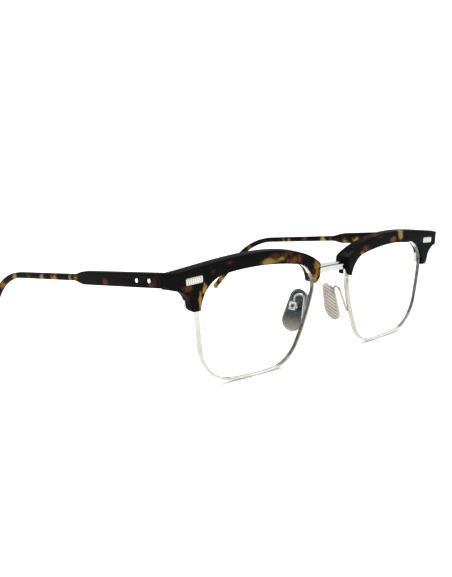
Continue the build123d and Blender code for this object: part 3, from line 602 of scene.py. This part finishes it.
def rule_tree(name, sizes):
    """A Geometry Nodes tree with named inputs. Returns the tree, its inputs and its geometry."""
    tree = bpy.data.node_groups.new(name, "GeometryNodeTree")
    tree.is_modifier = True
    tree.interface.new_socket("Geometry", in_out="INPUT", socket_type="NodeSocketGeometry")
    for size in sizes:
        tree.interface.new_socket(size, in_out="INPUT", socket_type="NodeSocketFloat")
    tree.interface.new_socket("Geometry", in_out="OUTPUT", socket_type="NodeSocketGeometry")
    inputs = tree.nodes.new("NodeGroupInput").outputs
    return tree, {size: inputs[size] for size in sizes}, inputs["Geometry"]


def close_tree(tree, geometry, material):
    """End a tree with Realize Instances and Set Material."""
    real = add_node(tree, "GeometryNodeRealizeInstances", {"Geometry": geometry})
    painted = add_node(
        tree, "GeometryNodeSetMaterial", {"Geometry": real.outputs[0], "Material": material}
    )
    add_node(tree, "NodeGroupOutput", {"Geometry": painted.outputs[0]})


def run_rule(name, mesh, tree, sizes):
    """Run a tree on a mesh and keep the result as a plain mesh."""
    piece = link(mesh, name)
    rule = piece.modifiers.new("Rule", "NODES")
    rule.node_group = tree
    for item in tree.interface.items_tree:
        if item.name in sizes:
            rule[item.identifier] = sizes[item.name]
    return bake_modifiers(piece)


def vector(tree, x=0.0, y=0.0, z=0.0):
    """A vector from three numbers or sockets."""
    return add_node(tree, "ShaderNodeCombineXYZ", {0: x, 1: y, 2: z}).outputs[0]


def hatch_tree(material):
    """Round lines side by side along x, half sunk in the plane z = 0."""
    names = ("Length", "Height", "Pitch", "Line Width", "Rise", "Lean")
    tree, size, _ = rule_tree("hatch_lines", names)
    gaps = maths(tree, "FLOOR", maths(tree, "DIVIDE", size["Length"], size["Pitch"]))
    used = maths(tree, "MULTIPLY", gaps, size["Pitch"])
    start = maths(tree, "MULTIPLY", used, -0.5)
    count = maths(tree, "ADD", gaps, 1.0)
    inputs = {
        "Count": count,
        "Start Location": vector(tree, start),
        "Offset": vector(tree, size["Pitch"]),
    }
    points = add_node(tree, "GeometryNodeMeshLine", inputs, mode="OFFSET")
    inputs = {"Vertices": LINE_SIDES, "Radius": 0.5, "Depth": 1.0}
    bar = add_node(tree, "GeometryNodeMeshCylinder", inputs)
    laid = add_node(
        tree, "GeometryNodeTransform", {"Geometry": bar.outputs[0], "Rotation": (pi / 2, 0, 0)}
    )
    double = maths(tree, "MULTIPLY", size["Rise"], 2.0)
    inputs = {
        "Points": points.outputs[0],
        "Instance": laid.outputs[0],
        "Rotation": vector(tree, z=size["Lean"]),
        "Scale": vector(tree, size["Line Width"], size["Height"], double),
    }
    lines = add_node(tree, "GeometryNodeInstanceOnPoints", inputs)
    close_tree(tree, lines.outputs[0], material)
    return tree


def rib_tree(material):
    """Ribs across a surface: its points rise along z in waves that die out at the edge."""
    tree, size, geometry = rule_tree("nose_ribs", ("Pitch", "Depth", "Lean"))
    place = add_node(tree, "GeometryNodeInputPosition").outputs[0]
    parts = add_node(tree, "ShaderNodeSeparateXYZ", {0: place}).outputs
    along = maths(tree, "MULTIPLY", parts[0], maths(tree, "COSINE", size["Lean"]))
    across = maths(tree, "MULTIPLY", parts[1], maths(tree, "SINE", size["Lean"]))
    turns = maths(tree, "DIVIDE", maths(tree, "ADD", along, across), size["Pitch"])
    wave = maths(tree, "SINE", maths(tree, "MULTIPLY", turns, tau))
    inside = add_node(
        tree, "GeometryNodeInputNamedAttribute", {"Name": "inside"}, data_type="FLOAT"
    )
    crest = maths(tree, "MULTIPLY_ADD", wave, 0.5, 0.5)
    height = maths(tree, "MULTIPLY", crest, size["Depth"])
    height = maths(tree, "MULTIPLY", height, inside.outputs[0])
    moved = add_node(
        tree, "GeometryNodeSetPosition", {"Geometry": geometry, "Offset": vector(tree, z=height)}
    )
    inputs = {"Geometry": moved.outputs[0], "Name": "crest", "Value": crest}
    stored = add_node(
        tree, "GeometryNodeStoreNamedAttribute", inputs, data_type="FLOAT", domain="POINT"
    )
    close_tree(tree, stored.outputs[0], material)
    return tree


# Acetate ------------------------------------------------------------------------------------------

# Light patches of each brow: the place as shares of its box, the reach in millimetres along x, y
# and z, the strength, and the tone from amber at 0 to olive at 1.
RIGHT_BROW_PATCHES = (
    ((0.62, 0.20, 0.745), (5.2, 2.6, 1.5), 0.8, 0.7),
    ((0.80, 0.20, 0.72), (5.0, 3.0, 2.2), 0.6, 0.35),
    ((0.74, 0.20, 0.86), (4.0, 3.0, 1.6), 0.5, 0.6),
    ((0.655, 0.12, 0.86), (2.6, 2.4, 1.6), 0.42, 0.1),
    ((0.70, 0.12, 0.79), (1.9, 2.4, 0.9), 0.75, 0.9),
    ((0.965, 0.25, 0.46), (2.8, 3.4, 5.2), 0.9, 0.35),
    ((0.95, 0.10, 0.22), (1.2, 1.8, 1.4), 0.9, 0.9),
    ((0.91, 0.80, 0.25), (3.4, 3.4, 6.0), 1.0, 0.4),
    # The next two patches paint a glow: light shining through the amber inner edge of the right
    # brow's leg.
    ((0.178, 0.42, 0.17), (0.9, 4.0, 3.6), 1.0, 0.6),
    ((0.205, 0.42, 0.40), (1.1, 4.0, 2.4), 1.0, 0.5),
    ((0.10, 0.45, 0.48), (2.6, 2.0, 1.5), 0.5, 0.0),
    ((0.36, 0.45, 0.86), (2.2, 2.6, 0.9), 0.5, 0.2),
    ((0.25, 0.33, 0.73), (1.3, 1.6, 1.2), 0.3, 1.0),
)
LEFT_BROW_PATCHES = (
    ((0.535, 0.20, 0.90), (2.4, 3.0, 2.8), 0.95, 1.0),
    ((0.46, 0.20, 0.80), (3.0, 3.0, 1.4), 0.6, 0.7),
    ((0.17, 0.06, 0.70), (2.2, 2.4, 2.2), 0.5, 0.0),
    ((0.135, 0.06, 0.60), (1.5, 2.0, 1.3), 0.75, 0.6),
    ((0.30, 0.30, 0.92), (4.2, 3.0, 1.0), 0.45, 0.3),
    ((0.86, 0.50, 0.05), (1.2, 2.0, 0.9), 0.7, 1.0),
    ((0.70, 0.55, 0.82), (2.2, 2.4, 1.4), 0.35, 0.4),
)
# Light bands of each temple: the place along its length in millimetres from the hinge end, its
# height as a share of the paddle's, the reach along and up, the strength and the tone.
RIGHT_TEMPLE_BANDS = (
    (5.0, 0.6, 2.6, 1.6, 0.5, 0.0),
    (22.0, 0.3, 2.4, 1.8, 0.45, 0.3),
    (30.5, 0.7, 2.2, 2.0, 0.5, 0.8),
    (50.0, 0.4, 2.6, 4.0, 0.85, 0.2),
    (53.6, 0.5, 1.6, 4.0, 0.75, 1.0),
    (65.0, 0.5, 3.4, 4.0, 1.0, 0.1),
    (74.0, 0.5, 2.0, 4.0, 0.9, 1.0),
    (84.0, 0.5, 2.4, 4.0, 0.5, 0.2),
    (95.5, 0.5, 2.8, 4.0, 0.9, 0.9),
    (108.0, 0.0, 3.0, 5.0, 0.7, 0.2),
    (120.0, -1.5, 3.2, 6.0, 0.9, 0.6),
    (133.0, -3.0, 2.6, 6.0, 0.6, 0.1),
)
LEFT_TEMPLE_BANDS = (
    (14.0, 0.6, 2.4, 1.6, 0.4, 0.4),
    (36.5, 0.6, 3.2, 2.2, 0.9, 0.0),
    (43.0, 0.5, 2.6, 3.0, 0.7, 0.9),
    (48.5, 0.4, 2.0, 3.0, 0.6, 0.9),
    (52.5, 0.5, 1.6, 4.0, 0.5, 0.0),
    (57.0, 0.5, 2.6, 4.0, 1.0, 1.0),
    (69.0, 0.5, 2.4, 4.0, 0.5, 0.2),
    (79.0, 0.5, 1.6, 4.0, 0.8, 0.2),
    (82.5, 0.5, 1.8, 4.0, 0.8, 1.0),
    (95.0, 0.0, 2.8, 4.0, 0.7, 0.8),
    (107.0, -0.6, 2.4, 6.0, 0.6, 0.1),
    (121.0, -2.0, 3.4, 6.0, 0.9, 0.5),
    (128.0, -3.4, 2.4, 6.0, 0.8, 0.2),
    (133.5, -4.2, 3.2, 6.0, 1.0, 1.0),
)

# A temple, in metres: how tall its paddle is, how far that starts below the top of its box, and how
# far the temple drops for each metre back. A band reaches right across it.
PADDLE_TALL = 4.6 * MM
PADDLE_BELOW = 1.9 * MM
TEMPLE_DROP = 0.083
BAND_ACROSS = 9 * MM
CORE_ROUGHNESS = 0.35


def brow_patches(node, table):
    """Patches of a brow in metres."""
    low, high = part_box(node)
    patches = []
    for place, reach, strength, tone in table:
        centre = [start + (end - start) * part for start, end, part in zip(low, high, place)]
        patches.append((centre, [value * MM for value in reach], strength, tone))
    return patches


def temple_bands(node, table):
    """Bands of a temple in metres. They cross it from its inner to its outer face."""
    low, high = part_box(node)
    patches = []
    for along, rise, reach, tall, strength, tone in table:
        middle = high.z - PADDLE_TALL / 2 - PADDLE_BELOW - along * MM * TEMPLE_DROP
        height = middle + (rise - 0.5) * PADDLE_TALL
        centre = ((low.x + high.x) / 2, low.y + along * MM, height)
        patches.append((centre, (BAND_ACROSS, reach * MM, tall * MM), strength, tone))
    return patches


class EYEGLASSES_OT_brows(bpy.types.Operator):
    """Make the acetate brows"""

    bl_idname = "eyeglasses.brows"
    bl_label = "Brows"

    def execute(self, context):
        for side, table in (("left", LEFT_BROW_PATCHES), ("right", RIGHT_BROW_PATCHES)):
            node = "brow_" + side
            material = acetate("tortoise_brow_" + side, brow_patches(node, table))
            eased(node, "front", material, settings().acetate.ease)
        return {"FINISHED"}


class EYEGLASSES_OT_temples(bpy.types.Operator):
    """Make the acetate temples"""

    bl_idname = "eyeglasses.temples"
    bl_label = "Temples"

    def execute(self, context):
        width = settings().acetate.ease * TEMPLE_EASE
        for side, table in (("left", LEFT_TEMPLE_BANDS), ("right", RIGHT_TEMPLE_BANDS)):
            node = "temple_" + side
            material = acetate("tortoise_temple_" + side, temple_bands(node, table))
            eased(node, "temple_" + side, material, width, ROUND_CORNER)
            core = metal("core_metal_" + side, settings().metal.rim, CORE_ROUGHNESS)
            finish_node("core_wire_" + side, core)
        return {"FINISHED"}


# Metal --------------------------------------------------------------------------------------------


# How squarely a rim's face looks at its lens, or the bridge's up, to take the painted shade, and
# how far back the bridge's ledge goes, as a share of its depth.
INWARDS = 0.5
UPWARDS = 0.7
LEDGE = 0.42


def looks_at(face, middle):
    """Whether a face of a rim looks in towards the middle of its lens."""
    inwards = middle - face.center
    inwards.y = 0
    return face.normal.dot(inwards.normalized()) > INWARDS


class EYEGLASSES_OT_rims(bpy.types.Operator):
    """Make the metal rims, their closing blocks and the bridge"""

    bl_idname = "eyeglasses.rims"
    bl_label = "Rims and Bridge"

    def execute(self, context):
        values = settings().metal
        satin = metal("satin_rim_metal", values.rim, values.satin)
        polished = metal("polished_bridge_metal", values.bridge, values.shine)
        # The dim metal is painted shade, on the rims' faces towards their lenses and on the
        # bridge's ledge.
        dim = metal("painted_shade_inner_metal", values.inside, values.satin)
        for side in SIDES:
            piece = eased("rim_" + side, "front", satin, values.wire_ease)
            middle = middle_of(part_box("rim_" + side))
            paint_faces(piece, dim, lambda face: looks_at(face, middle))
            eased("closing_block_" + side, "front", satin, values.ease)
        bridge = eased("bridge", "front", polished, values.wire_ease)
        low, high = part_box("bridge")
        ledge = low[1] + (high[1] - low[1]) * LEDGE
        paint_faces(bridge, dim, lambda face: face.normal.z > UPWARDS and face.center.y < ledge)
        return {"FINISHED"}


class EYEGLASSES_OT_hinges(bpy.types.Operator):
    """Make the end plates and the hinges, with their rivets and screws"""

    bl_idname = "eyeglasses.hinges"
    bl_label = "Hinges"

    def execute(self, context):
        values = settings().metal
        satin = metal("satin_hinge_metal", values.rim, values.satin)
        bright = metal("bright_screw_metal", values.bright, values.shine)
        for side in SIDES:
            eased("end_piece_" + side, "front", satin, values.ease)
            eased("temple_hinge_" + side, "temple_" + side, satin, values.ease)
            width = values.ease * SMALL_EASE
            eased("hinge_screw_" + side, "front", bright, width)
            for name in ("temple_rivets_", "brow_screws_", "rim_screw_"):
                finish_node(name + side, bright)
        return {"FINISHED"}


class EYEGLASSES_OT_plaques(bpy.types.Operator):
    """Make the plaques and the fine lines across them"""

    bl_idname = "eyeglasses.plaques"
    bl_label = "Plaques"

    def execute(self, context):
        values = settings().plaque
        metals = settings().metal
        base = metal("plaque_metal", metals.plaque, metals.satin)
        tree = hatch_tree(metal("plaque_line_metal", metals.line, metals.satin))
        for side in SIDES:
            eased("plaque_" + side, "front", base, metals.ease * SMALL_EASE)
            place, size = face_frame("plaque_" + side, (0, -1, 0))
            sizes = {
                "Length": size[0] - 2 * values.margin,
                "Height": size[1] - 2 * values.margin,
                "Pitch": values.pitch,
                "Line Width": values.line,
                "Rise": values.rise,
                "Lean": values.lean,
            }
            seed = bpy.data.meshes.new("hatch_seed_" + side)
            lines = run_rule("plaque_lines_" + side, seed, tree, sizes)
            lines.data.transform(place)
            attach(lines, "front")
        return {"FINISHED"}


# Lenses and nose rests ----------------------------------------------------------------------------


class EYEGLASSES_OT_lenses(bpy.types.Operator):
    """Give the lenses their clear coated finish"""

    bl_idname = "eyeglasses.lenses"
    bl_label = "Lenses"

    def execute(self, context):
        material = clear_lens()
        for side in SIDES:
            finish_node("lens_" + side, material)
        return {"FINISHED"}


# Nose pads: the radii of the upper and the lower end as shares of the width, and the steps round
# each end.
UPPER_END = 0.385
LOWER_END = 0.495
END_STEPS = 32
# The ribs reach full height at 1 / RIB_START of the way in from the edge. Their skin's thickness,
# and the marks in it, are in metres.
RIB_START = 7
SKIN_THICK = 0.05 * MM
RIB_SCRATCH_SIZE = 0.5 * MM
RIB_SCRATCH_DEPTH = 0.004 * MM
# How far up the outer face its painted reflection fades from the pale lower colour to the dark one,
# as a share of the height, and how squarely a face looks out to be part of it.
DISH_REFLECTION_FADE = 0.45
OUTWARDS = 0.75


def pad_outline(size, spokes):
    """Points evenly spaced around a pad's outline, which is rounder at its lower end."""
    corners = []
    for radius, facing in ((size[1] * UPPER_END, 0.0), (size[1] * LOWER_END, pi)):
        centre = (size[0] / 2 - radius) * cos(facing)
        for step in range(END_STEPS + 1):
            turn = facing - pi / 2 + pi * step / END_STEPS
            corners.append(Vector((centre + radius * cos(turn), radius * sin(turn), 0)))
    corners.append(corners[0])
    steps = [(end - start).length for start, end in zip(corners, corners[1:])]
    gap = sum(steps) / spokes
    points = []
    index, passed = 0, 0.0
    for spoke in range(spokes):
        while passed + steps[index] < spoke * gap:
            passed += steps[index]
            index += 1
        part = (spoke * gap - passed) / steps[index]
        points.append(corners[index].lerp(corners[index + 1], part))
    return points


def pad_skin(name, size, rings, spokes):
    """A closed thin disc of the pad's outline, in rings.

    Its attribute "inside" goes from 0 at the edge to 1.
    """
    outline = pad_outline(size, spokes)
    shape = bmesh.new()
    inside = shape.verts.layers.float.new("inside")
    rows = []
    for ring in range(rings):
        part = 1 - ring / rings
        row = []
        for point in outline:
            vertex = shape.verts.new(point * part)
            vertex[inside] = min(1.0, (1 - part) * RIB_START)
            row.append(vertex)
        rows.append(row)
    middle = shape.verts.new((0, 0, 0))
    middle[inside] = 1.0
    for outer, inner in zip(rows, rows[1:]):
        for index in range(spokes):
            after = (index + 1) % spokes
            shape.faces.new((outer[index], outer[after], inner[after], inner[index]))
    for index in range(spokes):
        shape.faces.new((rows[-1][index], rows[-1][(index + 1) % spokes], middle))
    below = Vector((0, 0, -SKIN_THICK))
    under = [shape.verts.new(vertex.co + below) for vertex in rows[0]]
    for index in range(spokes):
        after = (index + 1) % spokes
        shape.faces.new((rows[0][after], rows[0][index], under[index], under[after]))
    shape.faces.new(list(reversed(under)))
    return as_mesh(shape, name)


class EYEGLASSES_OT_nose_rests(bpy.types.Operator):
    """Make the nose pads, their ribbed sides, boxes and arms"""

    bl_idname = "eyeglasses.nose_rests"
    bl_label = "Nose Rests"

    def execute(self, context):
        values = settings().pad
        metals = settings().metal
        edge = metal("pad_edge_metal", values.skin, values.matt)
        # The ribbed metal has painted shade in the grooves between its ribs.
        matt = metal(
            "ribbed_pad_metal",
            values.skin,
            values.matt,
            scratch=RIB_SCRATCH_SIZE,
            depth=RIB_SCRATCH_DEPTH,
            attribute=("crest", values.painted_groove_shade),
        )
        bright = metal("bright_box_metal", metals.bright, metals.shine)
        wire = metal("polished_arm_metal", metals.arm, metals.shine)
        tree = rib_tree(matt)
        sizes = {"Pitch": values.pitch, "Depth": values.depth}
        for side, nose in (("left", -1), ("right", 1)):
            low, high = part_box("nose_pad_" + side)
            # Painted reflection on the outer face: dark, and pale warm towards its lower end.
            reflection_fade = (metals.painted_dish_reflection_low, low[2], low[2] + (high[2] - low[2]) * DISH_REFLECTION_FADE)
            painted_dish_reflection = metal("polished_pad_painted_reflection_" + side, metals.painted_dish_reflection, metals.satin, reflection_fade=reflection_fade)
            pad = eased("nose_pad_" + side, "pad_" + side, edge, metals.ease)
            paint_faces(pad, painted_dish_reflection, lambda face: face.normal.x * -nose > OUTWARDS)
            finish_node("pad_arm_" + side, wire)
            finish_node("pad_screw_" + side, bright)
            eased("pad_box_" + side, "front", bright, metals.ease)
            place, size = face_frame("nose_pad_" + side, (nose, 0, 0))
            skin = pad_skin("rib_skin_" + side, size, values.rings, values.spokes)
            lean = dict(sizes, Lean=values.lean * nose)
            ribs = run_rule("pad_ribs_" + side, skin, tree, lean)
            ribs.data.transform(place @ Matrix.Translation((0, 0, values.lift)))
            smooth(ribs)
            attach(ribs, "pad_" + side)
        return {"FINISHED"}


# Stage --------------------------------------------------------------------------------------------


# Each lamp: its name, its place from the middle of the glasses, its width and its power in watts.
LAMPS = (
    ("overhead", (-0.1, 0.15, 0.7), 0.6, 2.4),
    ("window", (-0.55, -0.2, 0.35), 0.35, 0.9),
)
# How squarely a reflection looks to the camera's side where the light starts and ends dimming.
DIM_RANGE = (0.05, 0.95)
FLOOR_SIDES = 128
FLOOR_GRAIN = 60 * MM
FLOOR_TONES = ((0.90, 0.90, 0.90), (0.94, 0.94, 0.94))
FLOOR_ROUGHNESS = 0.9
FLOOR_GLOSS = 0.1
NEAREST_SEEN = 0.01


def studio_light():
    """Even white light from all round, which reflections see dimmer on the camera's side."""
    values = settings().stage
    world = bpy.data.worlds.new("studio")
    world.use_nodes = True
    tree = world.node_tree
    tree.nodes.clear()
    toward = add_node(tree, "ShaderNodeTexCoord").outputs["Generated"]
    dim = Vector((sin(values.azimuth), -cos(values.azimuth), 0.0))
    facing = vector_maths(tree, "DOT_PRODUCT", toward, dim)["Value"]
    level = stretch(tree, facing, *DIM_RANGE, values.sky, values.sky * values.shade)
    glossy = add_node(tree, "ShaderNodeLightPath").outputs["Is Glossy Ray"]
    change = maths(tree, "SUBTRACT", level, values.sky)
    seen = maths(tree, "MULTIPLY_ADD", change, glossy, values.sky)
    inputs = {"Color": (1, 1, 1, 1), "Strength": seen}
    background = add_node(tree, "ShaderNodeBackground", inputs)
    add_node(tree, "ShaderNodeOutputWorld", {"Surface": background.outputs[0]})
    bpy.context.scene.world = world


def soft_lamp(name, place, target, size, power):
    """A square soft lamp that looks at a point."""
    data = bpy.data.lights.new(name, "AREA")
    data.shape = "SQUARE"
    data.size = size
    data.energy = power
    lamp = link(data, name)
    lamp.location = target + Vector(place)
    lamp.rotation_euler = Vector(place).to_track_quat("Z", "Y").to_euler()


def very_soft_sun():
    """Light from above, so wide that its shadows are soft."""
    values = settings().stage
    data = bpy.data.lights.new("sun", "SUN")
    data.energy = values.sun
    data.angle = values.sun_spread
    link(data, "sun")


def pale_floor(height):
    """A round matt floor at that height."""
    shape = bmesh.new()
    radius = settings().stage.floor
    bmesh.ops.create_circle(shape, cap_ends=True, segments=FLOOR_SIDES, radius=radius)
    mesh = as_mesh(shape, "floor")
    mesh.transform(Matrix.Translation((0, 0, height)))
    floor = link(mesh, "floor")
    material, tree, shader, place = new_material("pale_floor")
    grain = noise(tree, place, FLOOR_GRAIN, detail=3.0)
    tree.links.new(blend_colours(tree, grain, *FLOOR_TONES), shader.inputs["Base Color"])
    shader.inputs["Roughness"].default_value = FLOOR_ROUGHNESS
    shader.inputs["Specular IOR Level"].default_value = FLOOR_GLOSS
    floor.data.materials.append(material)


def set_camera():
    """Look at the glasses from the wearer's right, a little above."""
    values = settings().stage
    target = middle_of(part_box("bridge")) + Vector(values.aim)
    level = cos(values.elevation)
    backwards = Vector(
        (sin(values.azimuth) * level, -cos(values.azimuth) * level, sin(values.elevation))
    )
    turn = backwards.to_track_quat("Z", "Y").to_matrix().to_4x4()
    spin = Matrix.Rotation(values.roll, 4, "Z")
    data = bpy.data.cameras.new("camera")
    data.lens = values.lens
    data.clip_start = NEAREST_SEEN
    camera = link(data, "camera")
    camera.matrix_world = Matrix.Translation(target + backwards * values.distance) @ turn @ spin
    bpy.context.scene.camera = camera


class EYEGLASSES_OT_stage(bpy.types.Operator):
    """Make the floor, the light and the camera"""

    bl_idname = "eyeglasses.stage"
    bl_label = "Stage"

    def execute(self, context):
        studio_light()
        centre = middle_of(CAD_BOX)
        for name, place, size, power in LAMPS:
            soft_lamp(name, place, centre, size, power)
        very_soft_sun()
        pale_floor(CAD_BOX[0][2])
        set_camera()
        bpy.context.scene.view_settings.view_transform = "Standard"
        return {"FINISHED"}


# Panel and start ----------------------------------------------------------------------------------

OPERATORS = (
    EYEGLASSES_OT_brows,
    EYEGLASSES_OT_temples,
    EYEGLASSES_OT_rims,
    EYEGLASSES_OT_hinges,
    EYEGLASSES_OT_plaques,
    EYEGLASSES_OT_lenses,
    EYEGLASSES_OT_nose_rests,
    EYEGLASSES_OT_stage,
)


class EYEGLASSES_PT_panel(bpy.types.Panel):
    """Lists the pieces and their sizes"""

    bl_label = "Eyeglasses"
    bl_idname = "EYEGLASSES_PT_panel"
    bl_space_type = "VIEW_3D"
    bl_region_type = "UI"
    bl_category = "Eyeglasses"

    def draw(self, context):
        column = self.layout.column()
        for operator in OPERATORS:
            column.operator(operator.bl_idname)
        for group in ("acetate", "metal", "lens", "plaque", "pad", "stage"):
            values = getattr(context.scene.eyeglasses, group)
            box = self.layout.box()
            box.label(text=group.title())
            for name in values.bl_rna.properties.keys():
                if name not in ("rna_type", "name"):
                    box.prop(values, name)


CLASSES = (
    AcetateSettings,
    MetalSettings,
    LensSettings,
    PlaqueSettings,
    PadSettings,
    StageSettings,
    EyeglassesSettings,
    *OPERATORS,
    EYEGLASSES_PT_panel,
)


def register():
    """Add the classes and the scene's settings."""
    for item in CLASSES:
        bpy.utils.register_class(item)
    bpy.types.Scene.eyeglasses = PointerProperty(type=EyeglassesSettings)


def unregister():
    """Take them away again."""
    del bpy.types.Scene.eyeglasses
    for item in reversed(CLASSES):
        bpy.utils.unregister_class(item)


def main():
    """Make every piece."""
    register()
    for operator in OPERATORS:
        group, name = operator.bl_idname.split(".")
        getattr(getattr(bpy.ops, group), name)()


if __name__ == "__main__":
    main()
